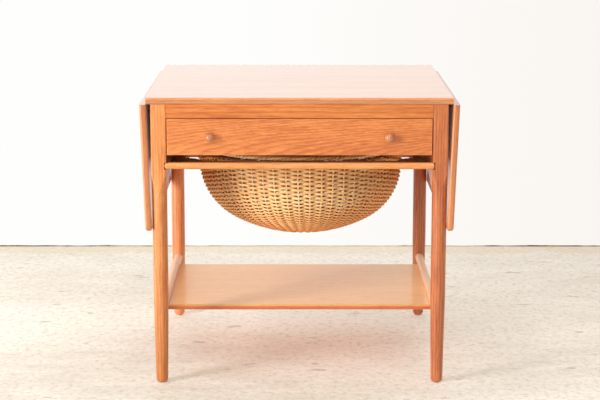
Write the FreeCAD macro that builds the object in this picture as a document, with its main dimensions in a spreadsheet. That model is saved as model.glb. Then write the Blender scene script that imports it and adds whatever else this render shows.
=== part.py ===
import FreeCAD, Part
import math
import os
import re
import Sketcher

# Sewing table with two drop leaves, a drawer and a pull-out wicker basket.
# Millimetres. X runs across the front, Y runs from the front to the back, Z is up.
# The origin is on the floor under the middle of the outline, knobs included.

doc = FreeCAD.newDocument("sewing_table")
sheet = doc.addObject("Spreadsheet::Sheet", "sizes")

# Driving sizes: name, value and what it measures.
SIZES = (
    ("table_height", 620, "floor to the top surface"),
    ("table_depth", 580, "front edge to back edge of the top"),
    ("top_width", 642, "fixed top, from one hinge line to the other"),
    ("board_thickness", 14, "thickness of the top and of the leaves"),
    ("edge_round", 5, "rounding along the free edges of top and leaves"),
    ("leaf_length", 271, "hinge line to the free edge of a leaf"),
    ("leaf_corner_round", 10, "rounding of a leaf's free corners, seen from above"),
    ("leaf_joint_gap", 0.3, "play between the top and a raised leaf"),
    ("leaf_rest_gap", 0.3, "play between a hanging leaf and the legs"),
    ("leg_setback_across", 9.5, "hinge line to the outer face of a leg"),
    ("leg_setback_along", 3, "front or back edge of the top to the face of a leg"),
    ("leg_size", 32, "square blank of a leg"),
    ("leg_corner_round", 3, "rounding of the blank's upright edges"),
    ("block_length", 144, "square part of a leg below the top"),
    ("shoulder_length", 52, "turned passage from square to round"),
    ("turned_diameter", 31.8, "round part of a leg"),
    ("taper_start", 190, "height where a leg begins to taper"),
    ("foot_diameter", 25.5, "leg just above its rounded foot"),
    ("foot_round_height", 9, "height of the rounded foot"),
    ("foot_flat_diameter", 13, "flat that stands on the floor"),
    ("side_apron_thickness", 22, "side aprons, flush inside with the legs"),
    ("back_apron_thickness", 18, "back apron"),
    ("back_recess", 7, "back leg face to the back apron"),
    ("side_apron_height", 182, "side apron at the legs"),
    ("side_apron_arch", 36, "rise of the side apron's lower edge"),
    ("back_apron_height", 209, "back apron"),
    ("scribe_depth", 10, "leg axis to the end of an apron's blank"),
    ("rail_height", 29, "front rail above the drawer"),
    ("rail_thickness", 20, "front rail"),
    ("tenon_length", 12, "rail tenon inside the leg"),
    ("tenon_thickness", 8, "rail tenon"),
    ("tenon_shoulder", 4, "shoulder above and below the rail tenon"),
    ("stretcher_diameter", 19, "round side stretcher"),
    ("stretcher_height", 149.5, "stretcher axis above the floor"),
    ("stretcher_seat", 12, "stretcher end inside a leg"),
    ("shelf_depth", 379, "front edge to back edge of the shelf"),
    ("shelf_thickness", 11, "shelf board"),
    ("shelf_drop", 1, "stretcher axis down to the shelf's surface"),
    ("shelf_edge_round", 4, "rounding of the shelf's front and back edges"),
    ("fit_gap", 0.2, "play where a board is coved round a rod"),
    ("dowel_diameter", 6, "shelf dowel"),
    ("dowel_length", 26, "shelf dowel"),
    ("dowel_seat", 8, "dowel end inside the stretcher"),
    ("dowel_gap", 0.1, "play round a dowel"),
    ("drawer_gap", 1.5, "play round the drawer front"),
    ("drawer_front_height", 77, "drawer front"),
    ("drawer_front_thickness", 20, "drawer front"),
    ("drawer_edge_round", 1.2, "rounding of the drawer front's edges"),
    ("drawer_side_gap", 2, "drawer side to the inner leg face"),
    ("drawer_side_thickness", 12, "drawer sides and back"),
    ("drawer_side_height", 60, "drawer sides"),
    ("drawer_side_rise", 6.5, "drawer front's lower edge up to the sides"),
    ("drawer_back_space", 15, "drawer back to the back apron"),
    ("drawer_floor_thickness", 4, "drawer bottom board"),
    ("drawer_floor_rise", 5, "side's lower edge up to the bottom board"),
    ("drawer_floor_seat", 4, "bottom board inside its grooves"),
    ("tail_length", 14, "dovetails let into the drawer front"),
    ("drawer_runner_height", 12, "batten in the drawer side's groove"),
    ("drawer_runner_grip", 6, "batten inside the groove"),
    ("groove_spare", 0.5, "groove deeper than its batten"),
    ("groove_stop", 8, "wood left between the groove and the drawer front"),
    ("slide_gap", 0.3, "play above and below sliding parts"),
    ("divider_thickness", 6, "drawer partitions"),
    ("divider_height", 36, "drawer partitions"),
    ("tray_depth", 150, "front compartments, front to back"),
    ("tray_width", 170, "outer front compartments, side to side"),
    ("spool_rack_width", 52, "board under the spool pegs"),
    ("spool_rack_thickness", 8, "board under the spool pegs"),
    ("spool_peg_diameter", 6, "spool peg"),
    ("spool_peg_height", 30, "spool peg above its board"),
    ("knob_diameter", 19, "turned drawer knob"),
    ("knob_reach", 19, "knob in front of the drawer"),
    ("knob_neck_diameter", 9, "neck of the knob"),
    ("knob_neck_length", 5, "neck of the knob"),
    ("knob_rim", 3, "straight rim of the knob's head"),
    ("knob_tenon_length", 12, "knob tenon inside the drawer front"),
    ("knob_spread", 375, "distance between the knobs"),
    ("rod_gap", 16.5, "drawer front down to the pull rod"),
    ("rod_diameter", 14, "pull rod of the basket"),
    ("rod_end_round", 2.5, "rounding of the rod's ends"),
    ("rod_notch_depth", 5, "notch in the front legs for the rod's end"),
    ("rod_end_gap", 1, "play at the rod's ends"),
    ("rod_side_gap", 0.5, "play round the rod in its notch"),
    ("slide_thickness", 12, "basket frame"),
    ("slide_rise", 4, "rod axis up to the top of the basket frame"),
    ("slide_width", 29, "side member of the basket frame"),
    ("slide_side_gap", 0.5, "play between the basket frame and its runner"),
    ("frame_corner_round", 36, "inner corners of the basket frame"),
    ("frame_front_width", 28, "front member of the basket frame"),
    ("runner_lip_thickness", 10, "lip under the basket frame"),
    ("runner_cover_thickness", 9, "lip over the basket frame"),
    ("runner_cover_width", 18, "lip over the basket frame"),
    ("runner_back_thickness", 6, "back of the basket runner"),
    ("runner_setback", 45, "front leg to the front end of a basket runner"),
    ("basket_depth", 160, "widest part down to the bottom"),
    ("basket_neck", 43, "widest part up to the rim"),
    ("basket_flare", 11, "how far the neck widens"),
    ("basket_wall", 7, "wicker wall"),
    ("basket_frame_gap", 1.5, "play between the mouth of the bowl and its frame"),
    ("basket_shift", 2.5, "basket off the middle of its frame"),
    ("rim_width", 21, "braided rim, in plan"),
    ("rim_height", 10, "braided rim"),
    ("rim_reach", 14, "rim beyond the neck of the bowl"),
    ("rim_round", 4, "rounding of the rim"),
    ("loper_width", 24, "sliding leaf support"),
    ("loper_height", 21, "sliding leaf support"),
    ("loper_setback", 21.5, "middle of the table to the inner end of a loper"),
    ("loper_spread", 320, "distance between the two pairs of lopers"),
    ("loper_gap", 0.4, "play round a loper"),
    ("guide_width", 12, "loper guide batten"),
    ("guide_lip", 5, "lip of the guide under a loper"),
    ("hinge_length", 48, "hinge along the joint line"),
    ("hinge_spread", 400, "distance between the hinges of a leaf"),
    ("hinge_plate_width", 17, "hinge plate, from the axis"),
    ("hinge_plate_thickness", 1.8, "hinge plate"),
    ("hinge_barrel_diameter", 6, "hinge barrel"),
    ("hinge_pin_diameter", 2.6, "hinge pin"),
    ("hinge_pin_gap", 0.1, "play round the hinge pin"),
    ("hinge_gap", 0.4, "play between knuckles and round the barrel"),
    ("overrun", 10, "how far a cut runs past the face it enters"),
)

# Counts: dovetails at each drawer corner, pegs in each of the two rows for spools.
TAILS = 3
PEGS = 5

# Shares: plain ratios that set the character of a form.
SHARES = (
    ("side_round_share", 0.85, "side curve of the bowl over its depth"),
    ("tail_root_share", 0.44, "dovetail's narrow end over its pitch"),
    ("tail_end_share", 0.66, "dovetail's wide end over its pitch"),
    ("dowel_place_share", 0.36, "outer dowels over the shelf's depth"),
    ("shelf_wrap_share", 0.5, "shelf edge over the stretcher's radius"),
)

# Places worked out from the driving sizes.
PLACES = (
    ("underside", "table_height - board_thickness"),
    ("hinge_across", "top_width / 2"),
    ("front_edge", "table_depth / 2"),
    ("leg_half", "leg_size / 2"),
    ("leg_across", "hinge_across - leg_setback_across - leg_half"),
    ("leg_along", "front_edge - leg_setback_along - leg_half"),
    ("inner_across", "leg_across - leg_half"),
    ("inner_along", "leg_along - leg_half"),
    ("outer_along", "leg_along + leg_half"),
    ("turned_radius", "turned_diameter / 2"),
    ("block_foot", "underside - block_length"),
    ("block_reach", "leg_half * sqrt(2)"),
    ("shoulder_step", "block_reach - turned_radius"),
    ("shoulder_radius", "(shoulder_length ^ 2 + shoulder_step ^ 2) / (2 * shoulder_step)"),
    ("foot_radius", "foot_diameter / 2"),
    ("foot_flat_radius", "foot_flat_diameter / 2"),
    ("foot_step", "foot_radius - foot_flat_radius"),
    ("foot_round_radius", "(foot_round_height ^ 2 + foot_step ^ 2) / (2 * foot_step)"),
    ("apron_outer", "inner_across + side_apron_thickness"),
    ("side_apron_foot", "underside - side_apron_height"),
    ("arch_radius", "(inner_along ^ 2 + side_apron_arch ^ 2) / (2 * side_apron_arch)"),
    ("back_apron_foot", "underside - back_apron_height"),
    ("back_apron_outer", "outer_along - back_recess"),
    ("back_apron_inner", "back_apron_outer - back_apron_thickness"),
    ("rail_foot", "underside - rail_height"),
    ("rail_back", "outer_along - rail_thickness"),
    ("rail_middle", "outer_along - rail_thickness / 2"),
    ("stretcher_radius", "stretcher_diameter / 2"),
    ("stretcher_end", "leg_along - turned_radius + stretcher_seat"),
    ("shelf_top", "stretcher_height - shelf_drop"),
    ("shelf_foot", "shelf_top - shelf_thickness"),
    ("shelf_reach", "leg_across - stretcher_radius * shelf_wrap_share"),
    ("dowel_height", "shelf_top - shelf_thickness / 2"),
    ("dowel_outer", "leg_across - stretcher_radius + dowel_seat"),
    ("dowel_inner", "dowel_outer - dowel_length"),
    ("dowel_place", "shelf_depth * dowel_place_share"),
    ("drawer_top", "rail_foot - drawer_gap"),
    ("drawer_foot", "drawer_top - drawer_front_height"),
    ("drawer_half", "inner_across - drawer_gap"),
    ("drawer_front_back", "outer_along - drawer_front_thickness"),
    ("drawer_side_outer", "inner_across - drawer_side_gap"),
    ("drawer_side_inner", "drawer_side_outer - drawer_side_thickness"),
    ("drawer_side_foot", "drawer_foot + drawer_side_rise"),
    ("drawer_side_top", "drawer_side_foot + drawer_side_height"),
    ("drawer_end", "back_apron_inner - drawer_back_space"),
    ("drawer_back_front", "drawer_end - drawer_side_thickness"),
    ("drawer_floor_foot", "drawer_side_foot + drawer_floor_rise"),
    ("drawer_floor_top", "drawer_floor_foot + drawer_floor_thickness"),
    ("tail_pitch", f"drawer_side_height / {TAILS}"),
    ("tail_tip", "drawer_front_back + tail_length"),
    ("runner_middle", "drawer_side_foot + drawer_side_height / 2"),
    ("drawer_runner_inner", "drawer_side_outer - drawer_runner_grip"),
    ("drawer_groove_inner", "drawer_runner_inner - groove_spare"),
    ("drawer_groove_front", "drawer_front_back - groove_stop"),
    ("divider_top", "drawer_floor_top + divider_height"),
    ("tray_back", "drawer_front_back - tray_depth"),
    ("spool_rack_top", "drawer_floor_top + spool_rack_thickness"),
    ("spool_rack_middle", "drawer_front_back - tray_depth / 2"),
    ("spool_rack_half", "drawer_side_inner - tray_width - divider_thickness - groove_spare"),
    ("knob_radius", "knob_diameter / 2"),
    ("knob_height", "drawer_foot + drawer_front_height / 2"),
    ("knob_across", "knob_spread / 2"),
    ("middle_shift", "(outer_along + knob_reach - front_edge) / 2"),
    ("knob_dome", "knob_reach - knob_neck_length - knob_rim"),
    ("knob_dome_radius", "(knob_radius ^ 2 + knob_dome ^ 2) / (2 * knob_dome)"),
    ("rod_radius", "rod_diameter / 2"),
    ("rod_height", "drawer_foot - rod_gap - rod_radius"),
    ("rod_along", "outer_along - rod_radius"),
    ("rod_room", "rod_radius + rod_side_gap"),
    ("rod_end", "inner_across + rod_notch_depth - rod_end_gap"),
    ("slide_top", "rod_height + slide_rise"),
    ("slide_foot", "slide_top - slide_thickness"),
    ("slide_outer", "inner_across - runner_back_thickness - slide_side_gap"),
    ("slide_inner", "slide_outer - slide_width"),
    ("slide_front", "rod_along - rod_radius - slide_gap"),
    ("slide_back", "back_apron_inner - drawer_gap"),
    ("member_front", "rod_along - rod_radius / 2"),
    ("member_inner", "slide_front - frame_front_width"),
    ("corner_start", "member_inner - frame_corner_round"),
    ("corner_side", "slide_inner - frame_corner_round"),
    ("bowl_top", "slide_top"),
    ("bowl_wide", "bowl_top - basket_neck"),
    ("bowl_foot", "bowl_wide - basket_depth"),
    ("neck_radius", "min(slide_inner; member_inner) - basket_shift - basket_frame_gap"),
    ("basket_radius", "neck_radius - basket_flare"),
    ("side_round", "basket_depth * side_round_share"),
    ("side_centre", "basket_radius - side_round"),
    ("bowl_excess", "side_centre ^ 2 + basket_depth ^ 2 - side_round ^ 2"),
    ("bottom_round", "bowl_excess / (2 * (basket_depth - side_round))"),
    ("turn_length", "bottom_round - side_round"),
    ("turn_out", "side_centre / turn_length"),
    ("turn_down", "(bottom_round - basket_depth) / turn_length"),
    ("rim_outer", "neck_radius + rim_reach"),
    ("rim_inner", "rim_outer - rim_width"),
    ("rim_top", "bowl_top + rim_height"),
    ("loper_place", "loper_spread / 2"),
    ("loper_foot", "underside - loper_gap - loper_height"),
    ("guide_foot", "loper_foot - loper_gap - guide_lip"),
    ("hinge_place", "hinge_spread / 2"),
    ("hinge_half", "hinge_length / 2"),
    ("knuckle_half", "hinge_length / 6"),
    ("barrel_radius", "hinge_barrel_diameter / 2"),
    ("barrel_pocket", "barrel_radius + hinge_gap"),
    ("lean_reach", "leaf_length - edge_round"),
    ("lean_room", "hinge_across - leg_across - turned_radius - leaf_rest_gap"),
    ("leaf_lean", "asin(lean_room / lean_reach)"),
)


def fill_sheet():
    """Write every size into the sheet, one named row each."""
    row = 0
    for name, number, note in SIZES + SHARES:
        row += 1
        sheet.set(f"A{row}", name)
        sheet.set(f"B{row}", str(number))
        sheet.set(f"C{row}", note)
        sheet.setAlias(f"B{row}", name)
    for name, formula in PLACES:
        row += 1
        sheet.set(f"A{row}", name)
        sheet.set(f"B{row}", f"={formula}")
        sheet.setAlias(f"B{row}", name)
    doc.recompute()


fill_sheet()
NAMES = {row[0] for row in SIZES + SHARES + PLACES}


def named(formula):
    """A formula in sheet names, written so that other objects can read it."""
    return re.sub(r"[a-z_]+", lambda word: f"sizes.{word[0]}" if word[0] in NAMES else word[0], formula)


def value(formula):
    """What a formula in sheet names comes to."""
    result = sheet.evalExpression(named(formula))
    return float(getattr(result, "Value", result))


def bind(thing, **formulas):
    """Tie properties of an object to formulas in sheet names."""
    for prop, formula in formulas.items():
        thing.setExpression(prop, named(formula))


def place(thing, across="0", along="0", height="0"):
    """Tie an object's position to the sheet."""
    thing.setExpression("Placement.Base.x", named(across))
    thing.setExpression("Placement.Base.y", named(along))
    thing.setExpression("Placement.Base.z", named(height))


def signed(side, formula):
    """The same formula on the left (-1) or right (+1) of the middle."""
    return f"{side} * ({formula})"


def span(side, near, far):
    """Two levels on one side of the middle, the lower one first."""
    return sorted((signed(side, near), signed(side, far)), key=value)


# Sketches and solids inside a body

PLANES = {"x": "YZ_Plane", "y": "XZ_Plane", "z": "XY_Plane"}

# The points of an edge, as constraints count them
START, END, CENTRE = range(1, 4)


def new_body(label):
    piece = doc.addObject("PartDesign::Body", label)
    piece.Label = label
    return piece


def new_sketch(piece, axis, level):
    """A sketch square to an axis at the given level, on the body's own origin plane."""
    flat = piece.newObject("Sketcher::SketchObject", f"{piece.Name}_sketch")
    plane = next(item for item in piece.Origin.OriginFeatures if item.Role == PLANES[axis])
    flat.AttachmentSupport = (plane, [""])
    flat.MapMode = "FlatFace"
    facing = -1 if axis == "y" else 1
    flat.setExpression("AttachmentOffset.Base.z", named(signed(facing, level)))
    return flat


def tie(flat, kind, edge, point, formula):
    """Hold a vertex of the sketch at a distance that the sheet gives."""
    number = flat.addConstraint(Sketcher.Constraint(kind, edge, point, value(formula)))
    flat.setExpression(f"Constraints[{number}]", named(formula))


def arc_between(start, end, radius, hand):
    """A round stretch from start to end, with its centre to the left or right."""
    chord = end - start
    half = chord.Length / 2
    rise = math.sqrt(max(radius ** 2 - half ** 2, 0))
    normal = FreeCAD.Vector(-chord.y, chord.x, 0).normalize()
    turn = 1 if hand == "left" else -1
    centre = start + chord / 2 + normal * rise * turn
    first, last = (start, end) if hand == "left" else (end, start)
    angles = [math.atan2(spot.y - centre.y, spot.x - centre.x) for spot in (first, last)]
    circle = Part.Circle(centre, FreeCAD.Vector(0, 0, 1), radius)
    return Part.ArcOfCircle(circle, angles[0], angles[1])


def draw(flat, steps):
    """Draw a closed outline: each step is the next corner, or (x, y, radius, hand)."""
    spots = [FreeCAD.Vector(value(step[0]), value(step[1]), 0) for step in steps]
    ends = []
    for number, step in enumerate(steps):
        start, end = spots[number - 1], spots[number]
        if len(step) == 2:
            edge = flat.addGeometry(Part.LineSegment(start, end), False)
            ends.append((edge, START, END))
        else:
            arc = arc_between(start, end, value(step[2]), step[3])
            edge = flat.addGeometry(arc, False)
            ends.append((edge, START, END) if step[3] == "left" else (edge, END, START))
    for number, (edge, first, last) in enumerate(ends):
        before, _, joint = ends[number - 1]
        flat.addConstraint(Sketcher.Constraint("Coincident", before, joint, edge, first))
    for step, (edge, first, last) in zip(steps, ends):
        tie(flat, "DistanceX", edge, last, step[0])
        tie(flat, "DistanceY", edge, last, step[1])
        if len(step) == 4:
            number = flat.addConstraint(Sketcher.Constraint("Radius", edge, value(step[2])))
            flat.setExpression(f"Constraints[{number}]", named(step[2]))


def circles(flat, spots, radius):
    """Draw equal circles at the given centres."""
    for across, up in spots:
        centre = FreeCAD.Vector(value(across), value(up), 0)
        ring = flat.addGeometry(Part.Circle(centre, FreeCAD.Vector(0, 0, 1), value(radius)), False)
        tie(flat, "DistanceX", ring, CENTRE, across)
        tie(flat, "DistanceY", ring, CENTRE, up)
        number = flat.addConstraint(Sketcher.Constraint("Radius", ring, value(radius)))
        flat.setExpression(f"Constraints[{number}]", named(radius))


def outline(flat, shape):
    if isinstance(shape, dict):
        circles(flat, shape["centres"], shape["radius"])
    else:
        draw(flat, shape)


def grow(piece, axis, low, high, shape):
    """Add a straight solid between two levels of an axis."""
    flat = new_sketch(piece, axis, high if axis == "y" else low)
    outline(flat, shape)
    pad = piece.newObject("PartDesign::Pad", f"{piece.Name}_pad")
    pad.Profile = flat
    bind(pad, Length=f"({high}) - ({low})")
    return pad


def cut(piece, axis, low, high, shape):
    """Remove a straight solid between two levels of an axis."""
    flat = new_sketch(piece, axis, low if axis == "y" else high)
    outline(flat, shape)
    pocket = piece.newObject("PartDesign::Pocket", f"{piece.Name}_pocket")
    pocket.Profile = flat
    bind(pocket, Length=f"({high}) - ({low})")
    return pocket


def turn(piece, shape, kind="Revolution"):
    """Revolve an outline of radius and height round the body's upright axis."""
    flat = new_sketch(piece, "y", "0")
    draw(flat, shape)
    feature = piece.newObject(f"PartDesign::{kind}", f"{piece.Name}_{kind.lower()}")
    feature.Profile = flat
    feature.ReferenceAxis = (flat, ["V_Axis"])
    feature.Angle = 360
    return feature


def rectangle(left, right, low, high):
    return ((left, low), (right, low), (right, high), (left, high))


def edges_of(feature, wanted):
    """Names of the edges for which the test holds."""
    doc.recompute()
    found = enumerate(feature.Shape.Edges, 1)
    return [f"Edge{number}" for number, edge in found if wanted(edge)]


def runs_along(edge, axis):
    """True for a straight edge that is parallel to an axis."""
    if not isinstance(edge.Curve, Part.Line):
        return False
    step = edge.Vertexes[-1].Point - edge.Vertexes[0].Point
    return abs(abs(getattr(step, axis)) - step.Length) < Part.Precision.confusion()


def soften(piece, feature, radius, wanted):
    """Round the edges of a feature for which the test holds."""
    names = edges_of(feature, wanted)
    fillet = piece.newObject("PartDesign::Fillet", f"{piece.Name}_fillet")
    fillet.Base = (feature, names)
    bind(fillet, Radius=radius)
    return fillet


def board(label, across, along, height):
    """A plain board between pairs of levels."""
    piece = new_body(label)
    grow(piece, "z", height[0], height[1], rectangle(across[0], across[1], along[0], along[1]))
    return piece


# Plain solids outside a body, for small hardware

AXIS_TURNS = {
    "x": FreeCAD.Rotation(FreeCAD.Vector(0, 1, 0), 90),
    "y": FreeCAD.Rotation(FreeCAD.Vector(1, 0, 0), -90),
    "z": FreeCAD.Rotation(),
}


def block(name, across, along, height):
    solid = doc.addObject("Part::Box", name)
    bind(solid, Length=f"({across[1]}) - ({across[0]})", Width=f"({along[1]}) - ({along[0]})",
         Height=f"({height[1]}) - ({height[0]})")
    place(solid, across[0], along[0], height[0])
    return solid


def pin(name, axis, radius, start, length):
    """A cylinder from a start point along an axis."""
    solid = doc.addObject("Part::Cylinder", name)
    solid.Placement = FreeCAD.Placement(FreeCAD.Vector(), AXIS_TURNS[axis])
    bind(solid, Radius=radius, Height=length)
    place(solid, start[0], start[1], start[2])
    return solid


def joined(name, solids):
    whole = doc.addObject("Part::MultiFuse", name)
    whole.Shapes = solids
    return whole


def less(name, base, tool):
    rest = doc.addObject("Part::Cut", name)
    rest.Base = base
    rest.Tool = tool
    rest.Label = name
    return rest


def together(label, solids):
    """Separate solids that share one node."""
    group = doc.addObject("Part::Compound", label)
    group.Links = solids
    group.Label = label
    return group


# Finished sub-parts, by node name
nodes = {}


def keep(piece, across="0", along="0", height="0"):
    """Count a piece as finished and stand it in its place, seen from the middle of the legs."""
    place(piece, across, f"{along} + middle_shift", height)
    nodes[piece.Label] = piece
    return piece


SIDES = (("left", -1), ("right", 1))
ENDS = (("front", -1), ("back", 1))


# Fixed top

def add_hinge_seats(piece, across, hand, level):
    """Sink the hinge plates and barrels into a board beside its joint line."""
    edge = f"{across} + {hand} * (hinge_plate_width + hinge_gap)"
    past = f"{across} - {hand} * overrun"
    for _, end in ENDS:
        low = f"{end} * hinge_place - hinge_half - hinge_gap"
        high = f"{end} * hinge_place + hinge_half + hinge_gap"
        plate = rectangle(*sorted((edge, past), key=value), low, high)
        cut(piece, "z", f"{level} - overrun", f"{level} + hinge_plate_thickness", plate)
        cut(piece, "y", low, high, {"centres": ((across, level),), "radius": "barrel_pocket"})


def make_top():
    top = new_body("top_panel")
    flat = rectangle("-hinge_across", "hinge_across", "-front_edge", "front_edge")
    slab = grow(top, "z", "underside", "table_height", flat)
    soften(top, slab, "edge_round", lambda edge: runs_along(edge, "x"))
    for _, side in SIDES:
        add_hinge_seats(top, signed(side, "hinge_across"), -side, "underside")
    keep(top)


# Legs: square blanks turned round below the aprons

def leg_profile():
    """What the lathe takes away, outside the turned outline."""
    return (
        ("leg_size", "block_foot"),
        ("block_reach", "block_foot"),
        ("turned_radius", "block_foot - shoulder_length", "shoulder_radius", "left"),
        ("turned_radius", "taper_start"),
        ("foot_radius", "foot_round_height"),
        ("foot_flat_radius", "0", "foot_round_radius", "right"),
        ("leg_size", "0"),
    )


def add_rail_mortise(leg, side):
    deep = signed(-side, "leg_half - tenon_length")
    past = signed(-side, "leg_half + overrun")
    middle = "leg_along - rail_middle"
    levels = ("rail_foot + tenon_shoulder", "underside - tenon_shoulder")
    low, high = (past, deep) if side > 0 else (deep, past)
    slot = rectangle(f"{middle} - tenon_thickness / 2", f"{middle} + tenon_thickness / 2", *levels)
    cut(leg, "x", low, high, slot)


def add_rod_notch(leg, side):
    deep = signed(-side, "leg_half - rod_notch_depth")
    past = signed(-side, "leg_half + overrun")
    low, high = (past, deep) if side > 0 else (deep, past)
    middle = "leg_along - rod_along"
    cut(leg, "x", low, high, {"centres": ((middle, "rod_height"),), "radius": "rod_room"})
    mouth = rectangle("-leg_half - overrun", middle, "rod_height - rod_room", "rod_height + rod_room")
    cut(leg, "x", low, high, mouth)


def make_leg(label, side, end):
    leg = new_body(label)
    square = rectangle("-leg_half", "leg_half", "-leg_half", "leg_half")
    blank = grow(leg, "z", "0", "underside", square)
    soften(leg, blank, "leg_corner_round", lambda edge: runs_along(edge, "z"))
    turn(leg, leg_profile(), "Groove")
    seat = signed(-end, "turned_radius - stretcher_seat")
    past = signed(-end, "leg_size")
    low, high = (past, seat) if end > 0 else (seat, past)
    cut(leg, "y", low, high, {"centres": (("0", "stretcher_height"),), "radius": "stretcher_radius"})
    if end < 0:
        add_rail_mortise(leg, side)
        add_rod_notch(leg, side)
    return keep(leg, signed(side, "leg_across"), signed(end, "leg_along"))


# Front rail and aprons

def make_front_rail():
    rail = new_body("front_rail")
    flat = rectangle("-inner_across", "inner_across", "-outer_along", "-rail_back")
    grow(rail, "z", "rail_foot", "underside", flat)
    reach = "inner_across + tenon_length"
    tongue = rectangle(f"-({reach})", reach, "-rail_middle - tenon_thickness / 2",
                       "-rail_middle + tenon_thickness / 2")
    grow(rail, "z", "rail_foot + tenon_shoulder", "underside - tenon_shoulder", tongue)
    keep(rail)


def make_side_apron(name, side, legs):
    """A board with an arched lower edge, its ends scribed to the turned part of the legs."""
    blank = new_body(f"side_apron_{name}_blank")
    reach = "leg_along - scribe_depth"
    shape = (
        ("-inner_along", "underside"),
        ("-inner_along", "block_foot"),
        (f"-({reach})", "block_foot"),
        (f"-({reach})", "side_apron_foot"),
        ("-inner_along", "side_apron_foot"),
        ("inner_along", "side_apron_foot", "arch_radius", "right"),
        (reach, "side_apron_foot"),
        (reach, "block_foot"),
        ("inner_along", "block_foot"),
        ("inner_along", "underside"),
    )
    faces = span(side, "inner_across", "apron_outer")
    grow(blank, "x", faces[0], faces[1], shape)
    for _, end in ENDS:
        middle = f"{end} * loper_place"
        gate = rectangle(f"{middle} - loper_width / 2 - loper_gap", f"{middle} + loper_width / 2 + loper_gap",
                         "loper_foot - loper_gap", "underside + overrun")
        cut(blank, "x", f"{faces[0]} - overrun", f"{faces[1]} + overrun", gate)
    scribe(f"side_apron_{name}", blank, legs)


def scribe(label, blank, legs):
    """Cut a board's ends to the two legs between which it stands."""
    place(blank, along="middle_shift")
    half = less(f"{label}_half", blank, legs[0])
    nodes[label] = less(label, half, legs[1])


def make_back_apron(legs):
    blank = new_body("back_apron_blank")
    reach = "leg_across - scribe_depth"
    shape = (
        ("-inner_across", "underside"),
        ("-inner_across", "block_foot"),
        (f"-({reach})", "block_foot"),
        (f"-({reach})", "back_apron_foot"),
        (reach, "back_apron_foot"),
        (reach, "block_foot"),
        ("inner_across", "block_foot"),
        ("inner_across", "underside"),
    )
    grow(blank, "y", "back_apron_inner", "back_apron_outer", shape)
    scribe("back_apron", blank, legs)


# Lower shelf between two round stretchers

def make_stretcher(name, side):
    rod = new_body(f"stretcher_{name}")
    ring = {"centres": ((signed(side, "leg_across"), "stretcher_height"),), "radius": "stretcher_radius"}
    grow(rod, "y", "-stretcher_end", "stretcher_end", ring)
    add_dowel_holes(rod, side)
    keep(rod)


def add_dowel_holes(piece, side):
    spots = tuple((f"{step} * dowel_place", "dowel_height") for step in (-1, 0, 1))
    holes = {"centres": spots, "radius": "dowel_diameter / 2 + dowel_gap"}
    levels = (signed(side, "dowel_inner - dowel_gap"), signed(side, "dowel_outer + dowel_gap"))
    low, high = sorted(levels, key=value)
    cut(piece, "x", low, high, holes)


def make_shelf():
    shelf = new_body("shelf")
    flat = rectangle("-shelf_reach", "shelf_reach", "-shelf_depth / 2", "shelf_depth / 2")
    slab = grow(shelf, "z", "shelf_foot", "shelf_top", flat)
    soften(shelf, slab, "shelf_edge_round", lambda edge: runs_along(edge, "x"))
    spots = tuple((signed(side, "leg_across"), "stretcher_height") for _, side in SIDES)
    coves = {"centres": spots, "radius": "stretcher_radius + fit_gap"}
    cut(shelf, "y", "-shelf_depth / 2 - overrun", "shelf_depth / 2 + overrun", coves)
    for _, side in SIDES:
        add_dowel_holes(shelf, side)
    keep(shelf)


def make_shelf_dowels():
    dowels = []
    for name, side in SIDES:
        start = span(side, "dowel_inner", "dowel_outer")[0]
        for number, step in enumerate((-1, 0, 1), 1):
            at = (start, f"{step} * dowel_place", "dowel_height")
            dowels.append(pin(f"dowel_{name}_{number}", "x", "dowel_diameter / 2", at, "dowel_length"))
    keep(together("shelf_dowels", dowels))


# Runners for drawer and basket

def make_drawer_runner(name, side):
    faces = span(side, "drawer_runner_inner", "inner_across")
    levels = ("runner_middle - drawer_runner_height / 2", "runner_middle + drawer_runner_height / 2")
    keep(board(f"drawer_runner_{name}", faces, ("slide_gap - drawer_groove_front", "inner_along"), levels))


def make_basket_runner(name, side):
    """A channel that holds the basket frame from below and keeps it from tipping."""
    runner = new_body(f"basket_runner_{name}")
    lip_top = "slide_foot - slide_gap"
    cover_foot = "slide_top + slide_gap"
    web = "inner_across - runner_back_thickness"
    shape = (
        (signed(side, "slide_inner"), f"{lip_top} - runner_lip_thickness"),
        (signed(side, "inner_across"), f"{lip_top} - runner_lip_thickness"),
        (signed(side, "inner_across"), f"{cover_foot} + runner_cover_thickness"),
        (signed(side, "inner_across - runner_cover_width"), f"{cover_foot} + runner_cover_thickness"),
        (signed(side, "inner_across - runner_cover_width"), cover_foot),
        (signed(side, web), cover_foot),
        (signed(side, web), lip_top),
        (signed(side, "slide_inner"), lip_top),
    )
    grow(runner, "y", "runner_setback - inner_along", "inner_along", shape)
    keep(runner)


# Lopers and their guides under the top

def make_loper(name, side, end_name, end):
    faces = span(side, "loper_setback", "apron_outer")
    middle = f"{end} * loper_place"
    keep(board(f"loper_{end_name}_{name}", faces,
               (f"{middle} - loper_width / 2", f"{middle} + loper_width / 2"),
               ("loper_foot", "underside - loper_gap")))


def make_loper_guides(end_name, end):
    """Two battens with a lip each, one on either side of a loper track."""
    battens = []
    for number, hand in enumerate((-1, 1), 1):
        batten = new_body(f"loper_guide_{end_name}_{number}")
        near = f"{end} * loper_place + {hand} * (loper_width / 2 + loper_gap)"
        far = f"{near} + {hand} * guide_width"
        tip = f"{end} * loper_place + {hand} * (loper_width / 2 - guide_lip)"
        shape = (
            (near, "underside"),
            (far, "underside"),
            (far, "guide_foot"),
            (tip, "guide_foot"),
            (tip, "guide_foot + guide_lip"),
            (near, "guide_foot + guide_lip"),
        )
        grow(batten, "x", "-inner_across", "inner_across", shape)
        battens.append(batten)
    keep(together(f"loper_guides_{end_name}", battens))


# Drop leaves, drawn raised and then turned down about the hinge line

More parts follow.
